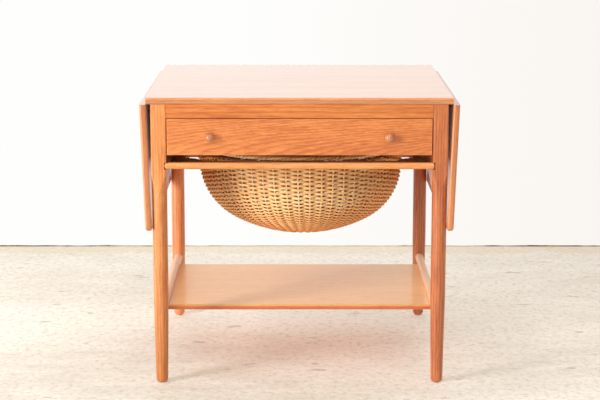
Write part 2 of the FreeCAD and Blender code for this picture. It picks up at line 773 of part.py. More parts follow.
def hang(piece, side):
    """Keep a piece drawn about the hinge line and turn it down with the hanging leaf."""
    piece.Placement = FreeCAD.Placement(FreeCAD.Vector(), FreeCAD.Rotation(FreeCAD.Vector(0, 1, 0), side))
    keep(piece, signed(side, "hinge_across"), "0", "underside")
    bind(piece, **{"Placement.Rotation.Angle": signed(side, "90 deg + leaf_lean")})


def make_leaf(name, side):
    leaf = new_body(f"leaf_{name}")
    joint, free = signed(side, "leaf_joint_gap"), signed(side, "leaf_length")
    flat = rectangle(*sorted((joint, free), key=value), "-front_edge", "front_edge")
    slab = grow(leaf, "z", "0", "board_thickness", flat)
    free_edge = value(free)
    near = value("leaf_length / 2")
    corners = soften(leaf, slab, "leaf_corner_round",
                     lambda edge: runs_along(edge, "z") and abs(edge.CenterOfMass.x - free_edge) < near)
    joint_edge = value(joint)
    soften(leaf, corners, "edge_round",
           lambda edge: not runs_along(edge, "z")
           and abs(edge.CenterOfMass.x - joint_edge) > value("leaf_joint_gap"))
    add_hinge_seats(leaf, "0", side, "0")
    hang(leaf, side)


# Brass hinges: plates let in flush, knuckles round a pin on the joint line

def knuckle_spans(end, outer_knuckles):
    """The stretches of the barrel that a half fills, and those that it leaves to the other half."""
    middle = f"{end} * hinge_place"
    low, high = f"{middle} - hinge_half", f"{middle} + hinge_half"
    near, far = f"{middle} - knuckle_half", f"{middle} + knuckle_half"
    gap = "hinge_gap / 2"
    if outer_knuckles:
        filled = ((low, f"{near} - {gap}"), (f"{far} + {gap}", high))
        left = ((f"{near} - {gap}", f"{far} + {gap}"),)
    else:
        filled = ((f"{near} + {gap}", f"{far} - {gap}"),)
        left = ((f"{low} - {gap}", f"{near} + {gap}"), (f"{far} - {gap}", f"{high} + {gap}"))
    return filled, left


def rounds(name, spans, radius, across, level):
    """Cylinders along the joint line, one for each stretch."""
    solids = []
    for number, (low, high) in enumerate(spans, 1):
        solids.append(pin(f"{name}_{number}", "y", radius, (across, low, level), f"({high}) - ({low})"))
    return solids


def hinge_half(name, end, across, hand, level, outer_knuckles):
    """One plate with its knuckles: the outer two, or the middle one."""
    filled, left = knuckle_spans(end, outer_knuckles)
    faces = sorted((across, f"{across} + {hand} * hinge_plate_width"), key=value)
    along = (f"{end} * hinge_place - hinge_half", f"{end} * hinge_place + hinge_half")
    flat = block(f"{name}_flat", faces, along, (level, f"{level} + hinge_plate_thickness"))
    for number, room in enumerate(rounds(f"{name}_room", left, "barrel_pocket", across, level), 1):
        flat = less(f"{name}_trimmed_{number}", flat, room)
    knuckles = rounds(f"{name}_knuckle", filled, "barrel_radius", across, level)
    whole = joined(f"{name}_whole", [flat] + knuckles)
    pin_gap = "0" if outer_knuckles else "hinge_pin_gap"
    start = (across, f"{along[0]} - overrun", level)
    radius = f"hinge_pin_diameter / 2 + {pin_gap}"
    hole = pin(f"{name}_bore", "y", radius, start, "hinge_length + 2 * overrun")
    return less(f"{name}_half", whole, hole)


def make_hinges(name, side):
    axis = signed(side, "hinge_across")
    fixed, moving, pins = [], [], []
    for end_name, end in ENDS:
        tag = f"hinge_{name}_{end_name}"
        fixed.append(hinge_half(f"{tag}_top", end, axis, -side, "underside", True))
        moving.append(hinge_half(f"{tag}_leaf", end, "0", side, "0", False))
        start = (axis, f"{end} * hinge_place - hinge_half", "underside")
        pins.append(pin(f"{tag}_pin", "y", "hinge_pin_diameter / 2", start, "hinge_length"))
    keep(together(f"hinge_{name}_top_plates", fixed))
    keep(together(f"hinge_{name}_pins", pins))
    hang(together(f"hinge_{name}_leaf_plates", moving), side)


# Drawer

def tail(number):
    """Corners of one dovetail at a drawer side's front edge, from the bottom up."""
    middle = f"drawer_side_foot + ({number} + 1 / 2) * tail_pitch"
    root = "tail_pitch * tail_root_share / 2"
    tip = "tail_pitch * tail_end_share / 2"
    return (
        ("-drawer_front_back", f"{middle} - {root}"),
        ("-tail_tip", f"{middle} - {tip}"),
        ("-tail_tip", f"{middle} + {tip}"),
        ("-drawer_front_back", f"{middle} + {root}"),
    )


def make_drawer_front():
    front = new_body("drawer_front")
    face = rectangle("-drawer_half", "drawer_half", "drawer_foot", "drawer_top")
    slab = grow(front, "y", "-outer_along", "-drawer_front_back", face)
    front_face = -value("outer_along")
    soften(front, slab, "drawer_edge_round",
           lambda edge: abs(edge.CenterOfMass.y - front_face) < value("drawer_edge_round"))
    groove = rectangle("-drawer_side_inner", "drawer_side_inner", "drawer_floor_foot", "drawer_floor_top")
    cut(front, "y", "-drawer_front_back - drawer_floor_seat", "-drawer_front_back + overrun", groove)
    for _, side in SIDES:
        levels = span(side, "drawer_side_inner", "drawer_side_outer + overrun")
        for number in range(TAILS):
            cut(front, "x", levels[0], levels[1], tail(number))
        spots = ((signed(side, "knob_across"), "knob_height"),)
        spot = {"centres": spots, "radius": "knob_neck_diameter / 2"}
        cut(front, "y", "-outer_along - overrun", "-outer_along + knob_tenon_length", spot)
    keep(front)


def make_drawer_side(name, side):
    panel = new_body(f"drawer_side_{name}")
    shape = [("-drawer_front_back", "drawer_side_foot")]
    for number in range(TAILS):
        shape += tail(number)
    shape += [
        ("-drawer_front_back", "drawer_side_top"),
        ("drawer_end", "drawer_side_top"),
        ("drawer_end", "drawer_side_foot"),
    ]
    faces = span(side, "drawer_side_inner", "drawer_side_outer")
    grow(panel, "x", faces[0], faces[1], shape)
    across = span(side, "drawer_groove_inner", "drawer_side_outer + overrun")
    half = "(drawer_runner_height / 2 + slide_gap)"
    channel = rectangle(*across, f"runner_middle - {half}", f"runner_middle + {half}")
    cut(panel, "y", "-drawer_groove_front", "drawer_end + overrun", channel)
    seat = span(side, "drawer_side_inner + drawer_floor_seat", "drawer_side_inner - overrun")
    groove = rectangle(*seat, "drawer_floor_foot", "drawer_floor_top")
    cut(panel, "y", "-drawer_front_back", "drawer_end + overrun", groove)
    keep(panel)


def make_drawer_box():
    keep(board("drawer_back", ("-drawer_side_inner", "drawer_side_inner"),
               ("drawer_back_front", "drawer_end"), ("drawer_floor_top", "drawer_side_top")))
    floor = new_body("drawer_bottom")
    reach = "drawer_side_inner + drawer_floor_seat"
    shape = (
        ("-drawer_side_inner", "-drawer_front_back - drawer_floor_seat"),
        ("drawer_side_inner", "-drawer_front_back - drawer_floor_seat"),
        ("drawer_side_inner", "-drawer_front_back"),
        (reach, "-drawer_front_back"),
        (reach, "drawer_end"),
        (f"-({reach})", "drawer_end"),
        (f"-({reach})", "-drawer_front_back"),
        ("-drawer_side_inner", "-drawer_front_back"),
    )
    grow(floor, "z", "drawer_floor_foot", "drawer_floor_top", shape)
    keep(floor)


def make_drawer_fittings():
    levels = ("drawer_floor_top", "divider_top")
    keep(board("drawer_divider_long", ("-drawer_side_inner", "drawer_side_inner"),
               ("-tray_back", "-tray_back + divider_thickness"), levels))
    for name, side in SIDES:
        edge = signed(side, "drawer_side_inner - tray_width")
        inner = f"{edge} - {side} * divider_thickness"
        keep(board(f"drawer_divider_{name}", sorted((edge, inner), key=value),
                   ("-drawer_front_back", "-tray_back"), levels))
    rack = new_body("spool_rack")
    flat = rectangle("-spool_rack_half", "spool_rack_half", "-spool_rack_middle - spool_rack_width / 2",
                     "-spool_rack_middle + spool_rack_width / 2")
    grow(rack, "z", "drawer_floor_top", "spool_rack_top", flat)
    keep(rack)
    pegs = []
    for row in (-1, 1):
        for number in range(PEGS):
            across = f"spool_rack_half * ({2 * number + 1 - PEGS} / {PEGS})"
            along = f"{row} * spool_rack_width / 4 - spool_rack_middle"
            at = (across, along, "spool_rack_top")
            name = f"spool_peg_{len(pegs) + 1}"
            pegs.append(pin(name, "z", "spool_peg_diameter / 2", at, "spool_peg_height"))
    keep(together("spool_pegs", pegs))


def make_knob(name, side):
    """A turned mushroom knob, revolved upright and then laid towards the front."""
    knob = new_body(f"knob_{name}")
    neck = "knob_neck_diameter / 2"
    shape = (
        ("0", "-knob_tenon_length"),
        (neck, "-knob_tenon_length"),
        (neck, "knob_neck_length"),
        ("knob_radius", "knob_neck_length"),
        ("knob_radius", "knob_neck_length + knob_rim"),
        ("0", "knob_reach", "knob_dome_radius", "left"),
    )
    turn(knob, shape)
    knob.Placement = FreeCAD.Placement(FreeCAD.Vector(), FreeCAD.Rotation(FreeCAD.Vector(1, 0, 0), 90))
    keep(knob, signed(side, "knob_across"), "-outer_along", "knob_height")


# Basket and the frame that it slides in

def make_basket_slide(name, side):
    faces = span(side, "slide_inner", "slide_outer")
    keep(board(f"basket_slide_{name}", faces, ("-slide_front", "slide_back"), ("slide_foot", "slide_top")))


def make_basket_member(name, end, face):
    """A cross member whose ends sweep round the frame's inner corners."""
    member = new_body(f"basket_{name}_member")
    hands = ("right", "right") if end < 0 else ("left", "left")
    shape = (
        ("-slide_inner", signed(end, face)),
        ("-slide_inner", signed(end, "corner_start")),
        ("-corner_side", signed(end, "member_inner"), "frame_corner_round", hands[0]),
        ("corner_side", signed(end, "member_inner")),
        ("slide_inner", signed(end, "corner_start"), "frame_corner_round", hands[1]),
        ("slide_inner", signed(end, face)),
    )
    grow(member, "z", "slide_foot", "slide_top", shape)
    if end < 0:
        cove = {"centres": (("-rod_along", "rod_height"),), "radius": "rod_radius"}
        cut(member, "x", "-slide_inner - overrun", "slide_inner + overrun", cove)
    keep(member)


def make_pull_rod():
    rod = new_body("pull_rod")
    ring = {"centres": (("-rod_along", "rod_height"),), "radius": "rod_radius"}
    bar = grow(rod, "x", "-rod_end", "rod_end", ring)
    soften(rod, bar, "rod_end_round", lambda edge: isinstance(edge.Curve, Part.Circle))
    keep(rod)


def bowl_turn(wall):
    """Where the side curve of the bowl runs into its bottom curve."""
    radius = f"(side_round - {wall})"
    return f"side_centre + {radius} * turn_out", f"bowl_wide - {radius} * turn_down"


def make_basket_bowl():
    bowl = new_body("basket_bowl")
    outer, inner = bowl_turn("0"), bowl_turn("basket_wall")
    shape = (
        ("0", "bowl_foot"),
        (*outer, "bottom_round", "left"),
        ("basket_radius", "bowl_wide", "side_round", "left"),
        ("neck_radius", "bowl_top"),
        ("neck_radius - basket_wall", "bowl_top"),
        ("basket_radius - basket_wall", "bowl_wide"),
        (*inner, "side_round - basket_wall", "right"),
        ("0", "bowl_foot + basket_wall", "bottom_round - basket_wall", "right"),
    )
    turn(bowl, shape)
    keep(bowl, "basket_shift")


def make_basket_rim():
    rim = new_body("basket_rim")
    ring = turn(rim, rectangle("rim_inner", "rim_outer", "bowl_top", "rim_top"))
    high = value("rim_top")
    wide = value("rim_outer")
    tight = value("rim_round")
    soften(rim, ring, "rim_round",
           lambda edge: isinstance(edge.Curve, Part.Circle)
           and (abs(edge.CenterOfMass.z - high) < tight)
           and edge.Curve.Radius > wide / 2)
    keep(rim, "basket_shift")


def build():
    make_top()
    legs = {}
    for name, side in SIDES:
        for end_name, end in ENDS:
            legs[end_name, name] = make_leg(f"leg_{end_name}_{name}", side, end)
    make_front_rail()
    make_back_apron([legs["back", "left"], legs["back", "right"]])
    make_shelf()
    make_shelf_dowels()
    for name, side in SIDES:
        make_side_apron(name, side, [legs["front", name], legs["back", name]])
        make_stretcher(name, side)
        make_drawer_runner(name, side)
        make_basket_runner(name, side)
        for end_name, end in ENDS:
            make_loper(name, side, end_name, end)
        make_leaf(name, side)
        make_hinges(name, side)
        make_drawer_side(name, side)
        make_knob(name, side)
        make_basket_slide(name, side)
    for end_name, end in ENDS:
        make_loper_guides(end_name, end)
    make_drawer_front()
    make_drawer_box()
    make_drawer_fittings()
    make_basket_member("front", -1, "member_front")
    make_basket_member("back", 1, "slide_back")
    make_pull_rod()
    make_basket_bowl()
    make_basket_rim()


def check():
    """Stop unless every object worked out and every sub-part is a sound solid."""
    doc.recompute()
    for thing in doc.Objects:
        if "Invalid" in thing.State or "Error" in thing.State:
            raise RuntimeError(f"{thing.Label} failed: {thing.State}")
    for label, piece in nodes.items():
        shape = piece.Shape
        if shape.isNull() or not shape.isValid() or not shape.Solids:
            raise RuntimeError(f"{label} has no sound solid")
        print(f"{label}: {len(shape.Solids)} solid(s), {shape.Volume / 1000:.1f} cm3")


build()
check()
os.makedirs("parts", exist_ok=True)
for node, sub_part in nodes.items():
    sub_part.Shape.exportStep(f"parts/{node}.step")
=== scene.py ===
import math

import bpy
from mathutils import Matrix, Vector, noise


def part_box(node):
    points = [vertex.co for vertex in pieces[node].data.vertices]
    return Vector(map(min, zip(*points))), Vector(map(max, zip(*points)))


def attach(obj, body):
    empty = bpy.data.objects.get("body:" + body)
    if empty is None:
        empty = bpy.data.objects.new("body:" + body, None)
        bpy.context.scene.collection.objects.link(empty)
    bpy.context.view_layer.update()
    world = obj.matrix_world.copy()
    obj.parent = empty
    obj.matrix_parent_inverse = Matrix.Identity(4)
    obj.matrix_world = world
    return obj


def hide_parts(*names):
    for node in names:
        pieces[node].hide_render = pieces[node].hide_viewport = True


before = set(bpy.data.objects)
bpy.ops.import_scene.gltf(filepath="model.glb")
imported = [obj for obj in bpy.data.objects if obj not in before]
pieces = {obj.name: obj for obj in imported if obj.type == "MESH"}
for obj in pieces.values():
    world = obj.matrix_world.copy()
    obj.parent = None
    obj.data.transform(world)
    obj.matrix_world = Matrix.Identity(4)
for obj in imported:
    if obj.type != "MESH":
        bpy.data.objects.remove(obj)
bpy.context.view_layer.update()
bpy.ops.object.select_all(action="DESELECT")


# Camera
# The photograph was taken from standing height with a long lens, a little left of the middle,
# looking slightly down; the lens is shifted so that the table sits low in the frame.

camera_place = (-0.0106, -3.6969, 1.1002)
lens_length = 99.43
lens_shift = -0.05
degrees_down, degrees_right, degrees_tipped = 10.492, 0.192, 0.05

bpy.ops.object.camera_add(location=camera_place)
camera = bpy.context.object
camera.data.lens = lens_length
camera.data.shift_y = lens_shift
looks_down = Matrix.Rotation(math.radians(90 - degrees_down), 3, "X")
looks_right = Matrix.Rotation(math.radians(-degrees_right), 3, "Z")
tips_left = Matrix.Rotation(math.radians(degrees_tipped), 3, "Z")
camera.rotation_euler = (looks_right @ looks_down @ tips_left).to_euler()
bpy.context.scene.camera = camera
bpy.context.scene.view_settings.view_transform = "Standard"


# Floor, wall and light
# A worn pale concrete floor in front of a white wall. A tall window stands to the left and a little in
# front, about as high as the table; the rest of the light comes softly from the bright room.

floor_size = 14
to_edge = floor_size / 2
wall_place = 1.02
# The joint at the wall's foot and the patched strip of floor are ragged, between these sizes.
joint_low, joint_high = 0.0015, 0.0045
strip_wide, strip_narrow = 0.12, 0.065


def add_node(tree, kind, sockets=None, **settings):
    """A shader node, with its settings and with each socket linked or given a value."""
    node = tree.nodes.new(kind)
    for name, value in settings.items():
        setattr(node, name, value)
    for name, source in (sockets or {}).items():
        if isinstance(source, bpy.types.NodeSocket):
            tree.links.new(source, node.inputs[name])
        else:
            node.inputs[name].default_value = source
    return node


def linear(red, green, blue):
    """A colour read from a picture, 0 to 255, as the shaders want it."""
    channels = []
    for level in (red, green, blue):
        share = level / 255
        channels.append(share / 12.92 if share <= 0.04045 else ((share + 0.055) / 1.055) ** 2.4)
    return (*channels, 1.0)


def new_material(name):
    """An empty material with its output, and the tree to build it in."""
    material = bpy.data.materials.new(name)
    material.use_nodes = True
    tree = material.node_tree
    tree.nodes.clear()
    output = tree.nodes.new("ShaderNodeOutputMaterial")
    return material, tree, output


def object_place(tree):
    """Where a point of a piece lies, in metres."""
    return add_node(tree, "ShaderNodeTexCoord").outputs["Object"]


def axis_of(tree, vector, axis):
    """The part of a vector that lies along X, Y or Z."""
    return add_node(tree, "ShaderNodeSeparateXYZ", {"Vector": vector}).outputs[axis]


def maths(tree, operation, *values):
    """The result of a sum on plain values."""
    return add_node(tree, "ShaderNodeMath", dict(enumerate(values)), operation=operation).outputs["Value"]


def vector_maths(tree, operation, first, second):
    """The result of a sum on two vectors or colours."""
    summed = add_node(tree, "ShaderNodeVectorMath", {0: first, 1: second}, operation=operation)
    return summed.outputs["Vector"]


def stretched_noise(tree, place, scale, detail, roughness=0.55):
    """Noise that is drawn out along the axes of a vector, with its own scale on each."""
    drawn = vector_maths(tree, "MULTIPLY", place, scale)
    cloud = add_node(tree, "ShaderNodeTexNoise",
                     {"Vector": drawn, "Scale": 1.0, "Detail": detail, "Roughness": roughness})
    return cloud.outputs["Fac"]


def between(tree, value, low, high, first=0.0, last=1.0):
    """A value brought from one span to another."""
    span = add_node(tree, "ShaderNodeMapRange", {"Value": value, "From Min": low, "From Max": high,
                                                 "To Min": first, "To Max": last})
    return span.outputs["Result"]


# The mixer's sockets for colours share their names with others, so they go by number.
mix_share, mix_first, mix_last, mix_colour = 0, 6, 7, 2


def blended(tree, share, first, last):
    """A colour part of the way from the first to the last."""
    mixer = add_node(tree, "ShaderNodeMix", {mix_share: share, mix_first: first, mix_last: last},
                     data_type="RGBA")
    return mixer.outputs[mix_colour]


def seen_from_front(tree, output, front):
    """Let a surface show from its front alone, so that views from behind or below look through it."""
    back = add_node(tree, "ShaderNodeBsdfTransparent")
    side = add_node(tree, "ShaderNodeNewGeometry")
    whole = add_node(tree, "ShaderNodeMixShader",
                     {0: side.outputs["Backfacing"], 1: front, 2: back.outputs["BSDF"]})
    tree.links.new(whole.outputs["Shader"], output.inputs["Surface"])


def concrete():
    """Troweled concrete: pale worn patches, darker clouds, small scars, and a patched strip by the wall. It
    also glows a little, a painted light that lifts the shadow cast on it.
    """
    material, tree, output = new_material("pale_concrete")
    place = object_place(tree)
    clouds = stretched_noise(tree, place, (0.9, 1.5, 1.0), 5.0, 0.6)
    smears = stretched_noise(tree, place, (5.0, 16.0, 1.0), 5.0, 0.65)
    grit = stretched_noise(tree, place, (90.0, 90.0, 1.0), 3.0, 0.7)
    scars = stretched_noise(tree, place, (11.0, 24.0, 1.0), 2.0, 0.5)
    speckles = stretched_noise(tree, place, (60.0, 55.0, 1.0), 4.0, 0.75)
    ragged = stretched_noise(tree, place, (8.0, 1.0, 1.0), 4.0, 0.7)
    strip_edge = between(tree, ragged, 0.35, 0.65, to_edge - strip_wide, to_edge - strip_narrow)
    past_edge = maths(tree, "SUBTRACT", axis_of(tree, place, "Y"), strip_edge)
    colour = blended(tree, between(tree, clouds, 0.38, 0.62), linear(208, 202, 192), linear(228, 224, 216))
    for mask, low, high, most, tint in (
        (smears, 0.40, 0.66, 0.55, linear(232, 229, 223)),
        (speckles, 0.50, 0.66, 0.50, linear(176, 158, 138)),
        (grit, 0.42, 0.62, 0.22, linear(166, 148, 126)),
        (scars, 0.68, 0.72, 0.50, linear(150, 128, 110)),
        (past_edge, 0.0, 0.02, 0.45, linear(206, 186, 156)),
    ):
        colour = blended(tree, between(tree, mask, low, high, 0.0, most), colour, tint)
    bump = add_node(tree, "ShaderNodeBump", {"Height": grit, "Strength": 0.15, "Distance": 0.002})
    # A painted glow in the floor's own colours, which lifts the shadow on it.
    shader = add_node(tree, "ShaderNodeBsdfPrincipled",
                      {"Base Color": colour, "Roughness": between(tree, smears, 0.3, 0.7, 0.55, 0.8),
                       "Emission Color": vector_maths(tree, "MULTIPLY", colour, (0.97, 0.91, 0.79)),
                       "Emission Strength": 0.38, "Normal": bump.outputs["Normal"]})
    seen_from_front(tree, output, shader.outputs["BSDF"])
    return material


def white_wall():
    """Bright white paint that glows, duller far from the window as a painted falloff of its light, with a
    broken dark joint at its foot.
    """
    material, tree, output = new_material("white_wall")
    place = object_place(tree)
    sideways = axis_of(tree, place, "X")
    # A painted falloff of the window's light along the wall.
    near = blended(tree, between(tree, sideways, -0.2, 1.1), linear(254, 254, 252), linear(249, 243, 238))
    painted_window_falloff = blended(tree, between(tree, sideways, 1.1, 3.0), near, linear(212, 206, 200))
    gaps = stretched_noise(tree, place, (11.0, 1.0, 1.0), 3.0, 0.7)
    broken = maths(tree, "MULTIPLY_ADD", maths(tree, "ABSOLUTE", sideways), 0.5, gaps)
    joint = blended(tree, between(tree, broken, 0.64, 0.90), linear(214, 200, 184), linear(76, 62, 46))
    ragged = stretched_noise(tree, place, (5.0, 1.0, 1.0), 3.0, 0.7)
    joint_top = between(tree, ragged, 0.35, 0.65, joint_low - to_edge, joint_high - to_edge)
    at_foot = maths(tree, "LESS_THAN", axis_of(tree, place, "Y"), joint_top)
    colour = blended(tree, at_foot, painted_window_falloff, joint)
    paint = add_node(tree, "ShaderNodeEmission", {"Color": colour, "Strength": 1.0})
    seen_from_front(tree, output, paint.outputs["Emission"])
    return material


bpy.ops.mesh.primitive_plane_add(size=floor_size, location=(0, wall_place - to_edge, 0))
floor = bpy.context.object
floor.name = "floor"
floor.data.materials.append(concrete())

bpy.ops.mesh.primitive_plane_add(size=floor_size, location=(0, wall_place, to_edge),
                                 rotation=(math.radians(90), 0, 0))
wall = bpy.context.object
wall.name = "wall"
wall.data.materials.append(white_wall())


def area_lamp(name, place, target, width, height, power, colour):
    """A soft flat lamp that looks at a point."""
    bpy.ops.object.light_add(type="AREA", location=place)
    lamp = bpy.context.object
    lamp.name = name
    lamp.data.shape = "RECTANGLE"
    lamp.data.size = width
    lamp.data.size_y = height
    lamp.data.energy = power
    lamp.data.color = colour
    lamp.rotation_euler = (Vector(target) - Vector(place)).to_track_quat("-Z", "Y").to_euler()


area_lamp("window", place=(-3.7, -2.7, 1.55), target=(0, 0, 0.45), width=1.3, height=2.4, power=196,
          colour=(1.0, 0.985, 0.96))
area_lamp("ceiling", place=(0.2, -1.8, 3.2), target=(0, 0, 0.2), width=3.2, height=3.2, power=44,
          colour=(1.0, 0.99, 0.97))

room = bpy.data.worlds.new("room")
bpy.context.scene.world = room
room.use_nodes = True
room_tree = room.node_tree
room_tree.nodes.clear()
room_ray = add_node(room_tree, "ShaderNodeLightPath")
room_light = add_node(room_tree, "ShaderNodeBackground", {"Color": (0.98, 0.99, 1.0, 1.0), "Strength": 0.30})
room_white = add_node(room_tree, "ShaderNodeBackground", {"Color": (1.0, 1.0, 0.99, 1.0), "Strength": 0.97})
room_mix = add_node(room_tree, "ShaderNodeMixShader",
                    {0: room_ray.outputs["Is Camera Ray"], 1: room_light.outputs["Background"],
                     2: room_white.outputs["Background"]})
add_node(room_tree, "ShaderNodeOutputWorld", {"Surface": room_mix.outputs["Shader"]})


# Oiled oak
# Every board and turned piece is oak, planed, sanded and oiled to a warm orange brown, and rubbed to a
# soft shine. The grain is solid: rings round a pith that lies along the piece, with pores between.

white = (1.0, 1.0, 1.0, 1.0)


def new_group(name, inputs, outputs):
    """An empty node group with named inputs and outputs, and the sockets that bring its inputs."""
    group = bpy.data.node_groups.new(name, "ShaderNodeTree")
    for label, kind, value in inputs:
        socket = group.interface.new_socket(label, in_out="INPUT", socket_type=kind)
        socket.default_value = value
    for label, kind in outputs:
        group.interface.new_socket(label, in_out="OUTPUT", socket_type=kind)
    return group, group.nodes.new("NodeGroupInput").outputs


def oak_grain():
    """Growth rings, fibres and pores of one piece of oak, whose grain runs along X."""
    group, given = new_group(
        "oak grain",
        (("Place", "NodeSocketVector", (0.0, 0.0, 0.0)), ("Early wood", "NodeSocketColor", white),
         ("Late wood", "NodeSocketColor", white), ("Ring width", "NodeSocketFloat", 0.003),
         ("Sway", "NodeSocketFloat", 0.012), ("Figure", "NodeSocketFloat", 0.28)),
        (("Colour", "NodeSocketColor"), ("Roughness", "NodeSocketFloat"), ("Relief", "NodeSocketFloat")))

    stretched = vector_maths(group, "MULTIPLY", given["Place"], (3.0, 14.0, 14.0))
    drift = add_node(group, "ShaderNodeTexNoise",
                     {"Vector": stretched, "Scale": 1.0, "Detail": 3.0, "Roughness": 0.5})
    centred = vector_maths(group, "SUBTRACT", drift.outputs["Color"], (0.5, 0.5, 0.5))
    wander = add_node(group, "ShaderNodeVectorMath", {0: centred, "Scale": given["Sway"]}, operation="SCALE")
    moved = vector_maths(group, "ADD", given["Place"], wander.outputs["Vector"])
    across = vector_maths(group, "MULTIPLY", moved, (0.0, 1.0, 1.0))
    radius = add_node(group, "ShaderNodeVectorMath", {0: across}, operation="LENGTH").outputs["Value"]
    season = maths(group, "FRACT", maths(group, "DIVIDE", radius, given["Ring width"]))
    late_curve = add_node(group, "ShaderNodeFloatCurve", {"Value": season})
    points = late_curve.mapping.curves[0].points
    points[0].location = (0.0, 0.8)
    points[1].location = (1.0, 0.8)
    for share, lateness in ((0.16, 0.2), (0.5, 0.3), (0.86, 0.7)):
        points.new(share, lateness)
    late_curve.mapping.update()
    late = late_curve.outputs["Value"]

    fibres = stretched_noise(group, given["Place"], (24.0, 430.0, 430.0), 3.0, 0.6)
    streaks = stretched_noise(group, given["Place"], (9.0, 180.0, 180.0), 2.0, 0.5)
    patches = stretched_noise(group, given["Place"], (2.5, 22.0, 22.0), 3.0, 0.55)
    dashes = stretched_noise(group, given["Place"], (70.0, 1300.0, 1300.0), 1.0)
    flecks = stretched_noise(group, given["Place"], (30.0, 300.0, 300.0), 2.0, 0.5)
    pores = maths(group, "MULTIPLY", between(group, dashes, 0.58, 0.70), maths(group, "SUBTRACT", 1.0, late))
    marks = maths(group, "MULTIPLY", between(group, flecks, 0.54, 0.72, 0.0, 0.55), late)

    tone = maths(group, "MULTIPLY", late, given["Figure"])
    for pattern, weight in ((streaks, 0.50), (fibres, 0.75), (patches, 0.62)):
        tone = maths(group, "MULTIPLY_ADD", pattern, weight, tone)
    body = blended(group, between(group, tone, 0.84, 1.28), given["Early wood"], given["Late wood"])
    marked = blended(group, marks, body, linear(150, 80, 40))
    colour = blended(group, maths(group, "MULTIPLY", pores, 0.42), marked, linear(112, 56, 26))
    relief = maths(group, "MULTIPLY_ADD", pores, -0.7, fibres)
    add_node(group, "NodeGroupOutput",
             {"Colour": colour, "Roughness": between(group, fibres, 0.0, 1.0, 0.34, 0.50), "Relief": relief})
    return group


def painted_edge_shade():
    """A painted shade on all but a board's good faces: its top where it lies, and both its sides where it
    hangs.
    """
    group, given = new_group(
        "painted edge shade",
        (("Colour", "NodeSocketColor", white), ("Edge shade", "NodeSocketColor", white),
         ("Hanging", "NodeSocketFloat", 0.0)),
        (("Colour", "NodeSocketColor"),))
    normal = add_node(group, "ShaderNodeTexCoord").outputs["Normal"]
    upward = axis_of(group, normal, "Z")
    sideways = maths(group, "ABSOLUTE", axis_of(group, normal, "X"))
    turned = maths(group, "SUBTRACT", sideways, upward)
    facing = maths(group, "MULTIPLY_ADD", given["Hanging"], turned, upward)
    tint = blended(group, between(group, facing, 0.0, 0.9), given["Edge shade"], white)
    add_node(group, "NodeGroupOutput", {"Colour": vector_maths(group, "MULTIPLY", given["Colour"], tint)})
    return group


grain = oak_grain()
edge_shade_group = painted_edge_shade()
along_axis = {"X": (0.0, 0.0, 0.0), "Y": (0.0, 0.0, math.radians(-90)), "Z": (0.0, math.radians(90), 0.0)}
foot_low, foot_high = 0.02, 0.20


def height_of(tree, place, low, high):
    """How high a place is, from 0 at the low to 1 at the high."""
    return between(tree, axis_of(tree, place, "Z"), low, high)


def oak(name, along, pith, colours, ring_width=0.003, sway=0.012, turn=(0.0, 0.0, 0.0), figure=0.28,
        shine=0.25, bloom=0.0, bloom_tint=(1.0, 1.0, 1.0), edges=None, hangs=False, foot=None):
    """Oak whose grain runs along an axis; pith says where its first ring lies, turn how it slants.

    Colours are those of the early and the late wood, and figure is how far the rings show them. Shine is
    the rubbed oil, bloom the pale haze that wax shows at a low angle. Edges is a painted shade on all but
    a board's good faces, and foot the tint of a leg near the floor."""
    material, tree, output = new_material(name)
    place = object_place(tree)
    turned = add_node(tree, "ShaderNodeMapping", {"Vector": place, "Rotation": along_axis[along]})
    laid = add_node(tree, "ShaderNodeMapping",
                    {"Vector": turned.outputs["Vector"], "Location": pith, "Rotation": turn})
    early, late = colours
    wood = add_node(tree, "ShaderNodeGroup",
                    {"Place": laid.outputs["Vector"], "Early wood": early, "Late wood": late,
                     "Ring width": ring_width, "Sway": sway, "Figure": figure}, node_tree=grain)
    colour = wood.outputs["Colour"]
    if edges:
        edge_shaded = add_node(tree, "ShaderNodeGroup",
                           {"Colour": colour, "Edge shade": (*edges, 1.0), "Hanging": float(hangs)},
                           node_tree=edge_shade_group)
        colour = edge_shaded.outputs["Colour"]
    if foot:
        # A leg given a foot tint is darker towards the floor.
        toward_foot = blended(tree, height_of(tree, place, foot_low, foot_high), (*foot, 1.0), white)
        colour = vector_maths(tree, "MULTIPLY", colour, toward_foot)
    bump = add_node(tree, "ShaderNodeBump",
                    {"Height": wood.outputs["Relief"], "Strength": 0.12, "Distance": 0.0004})
    shader = add_node(tree, "ShaderNodeBsdfPrincipled",
                      {"Base Color": colour, "Roughness": wood.outputs["Roughness"],
                       "Normal": bump.outputs["Normal"], "IOR": 1.5, "Coat Weight": shine, "Coat IOR": 1.6,
                       "Coat Roughness": 0.14, "Sheen Weight": bloom, "Sheen Roughness": 0.3,
                       "Sheen Tint": (*bloom_tint, 1.0)})
    tree.links.new(shader.outputs["BSDF"], output.inputs["Surface"])
    return material


def dress(node, material):
    """Give a CAD piece its finish."""
    pieces[node].data.materials.clear()
    pieces[node].data.materials.append(material)


# Top and leaves
# One board with its grain from side to side, and two leaves cut from the same boards, so that the
# grain runs down them when they hang. All three are polished, and their edges, with the top's underside,
# carry painted shade.

